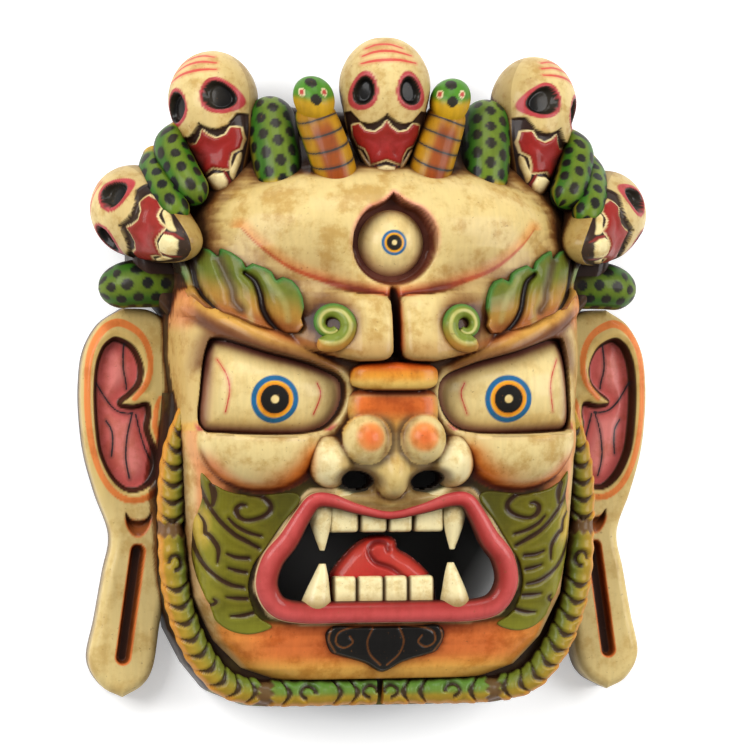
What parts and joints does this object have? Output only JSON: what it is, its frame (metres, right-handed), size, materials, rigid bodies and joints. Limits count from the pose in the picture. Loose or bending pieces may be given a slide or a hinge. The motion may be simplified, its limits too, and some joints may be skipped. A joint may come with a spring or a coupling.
{
  "type": "bhairava mask",
  "caption": "Carved and painted wooden face mask with a crown of skulls and serpents, open mouth with fangs, long-lobed ears and a hollow back.",
  "frame": {"origin": "middle of the mask's height and width, on the flat plane of its back rim", "axes": "+X to the viewer's right, +Y towards the crown, +Z out of the face towards the viewer"},
  "size_m": [0.3538, 0.4021, 0.1236],
  "materials": {
    "mask": "hand painted, brown wash in the hollows, satin varnish"
  },
  "bodies": {
    "root": {"mask": "mask"}
  },
  "joints": []
}
